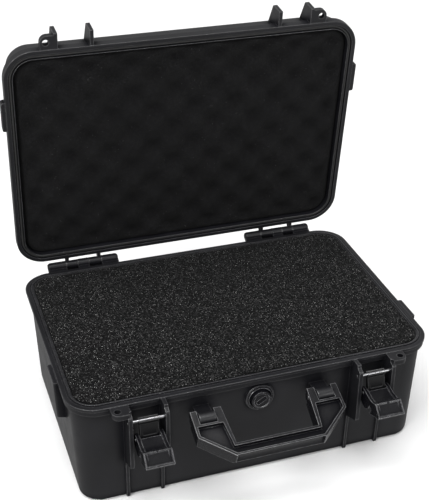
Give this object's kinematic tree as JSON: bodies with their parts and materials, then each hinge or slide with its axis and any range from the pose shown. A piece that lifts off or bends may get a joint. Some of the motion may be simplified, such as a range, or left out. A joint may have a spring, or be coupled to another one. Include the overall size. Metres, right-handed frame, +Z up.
{
  "type": "hard equipment case",
  "caption": "Black moulded hard case with its lid open: foam blocks in the base, convoluted foam in the lid, draw latches, fold-down handle and purge valve.",
  "frame": {"origin": "middle of the base's underside, on the floor", "axes": "+Z up, -Y towards the latches and handle, X along the hinge line"},
  "size_m": [0.43, 0.3967, 0.4489],
  "materials": {
    "case_plastic": "moulded, fine texture",
    "latch_plastic": "moulded, satin gloss",
    "pin_steel": "drawn bar, bright",
    "gasket_rubber": "matt",
    "base_foam": "open-cell foam",
    "lid_foam": "convoluted open-cell foam"
  },
  "bodies": {
    "base": {"base_shell": "case_plastic", "base_foam_pad": "base_foam", "base_foam_lower": "base_foam", "base_foam_upper": "base_foam", "left_hinge_pin": "pin_steel", "right_hinge_pin": "pin_steel", "left_latch_pivot_pin": "pin_steel", "right_latch_pivot_pin": "pin_steel", "left_handle_pin": "pin_steel", "right_handle_pin": "pin_steel", "valve_body": "latch_plastic", "valve_nut": "latch_plastic"},
    "lid": {"lid_shell": "case_plastic", "lid_gasket": "gasket_rubber", "lid_foam": "lid_foam"},
    "left_link": {"left_latch_link": "latch_plastic", "left_latch_cam_pin": "pin_steel"},
    "left_lever": {"left_latch_lever": "latch_plastic"},
    "right_link": {"right_latch_link": "latch_plastic", "right_latch_cam_pin": "pin_steel"},
    "right_lever": {"right_latch_lever": "latch_plastic"},
    "handle": {"handle": "latch_plastic"},
    "valve_stem": {"valve_knob": "latch_plastic", "valve_seal": "gasket_rubber"}
  },
  "joints": [
    {"name": "lid_hinge", "type": "hinge", "parent": "base", "child": "lid", "pos_m": [0, 0.1523, 0.1365], "axis": [1, 0, 0], "range_deg": [-22, 83.3]},
    {"name": "left_latch_swing", "type": "hinge", "parent": "base", "child": "left_link", "pos_m": [-0.1304, -0.1545, 0.121], "axis": [-1, 0, 0], "range_deg": [0, 163.6]},
    {"name": "left_latch_throw", "type": "hinge", "parent": "left_link", "child": "left_lever", "pos_m": [-0.1304, -0.15869, 0.10022], "axis": [-1, 0, 0], "range_deg": [-231.7, 0]},
    {"name": "right_latch_swing", "type": "hinge", "parent": "base", "child": "right_link", "pos_m": [0.1304, -0.1545, 0.121], "axis": [-1, 0, 0], "range_deg": [0, 163.6]},
    {"name": "right_latch_throw", "type": "hinge", "parent": "right_link", "child": "right_lever", "pos_m": [0.1304, -0.15869, 0.10022], "axis": [-1, 0, 0], "range_deg": [-231.7, 0]},
    {"name": "handle_fold", "type": "hinge", "parent": "base", "child": "handle", "pos_m": [0, -0.1575, 0.1085], "axis": [-1, 0, 0], "range_deg": [-70, 25]},
    {"name": "valve_turn", "type": "hinge", "parent": "base", "child": "valve_stem", "pos_m": [0, -0.142, 0.1065], "axis": [0, -1, 0], "range_deg": [0, 180]}
  ],
  "couplings": [
    {"joint": "left_latch_throw", "follows": "left_latch_swing", "ratio": -1.4156},
    {"joint": "right_latch_throw", "follows": "right_latch_swing", "ratio": -1.4156}
  ]
}
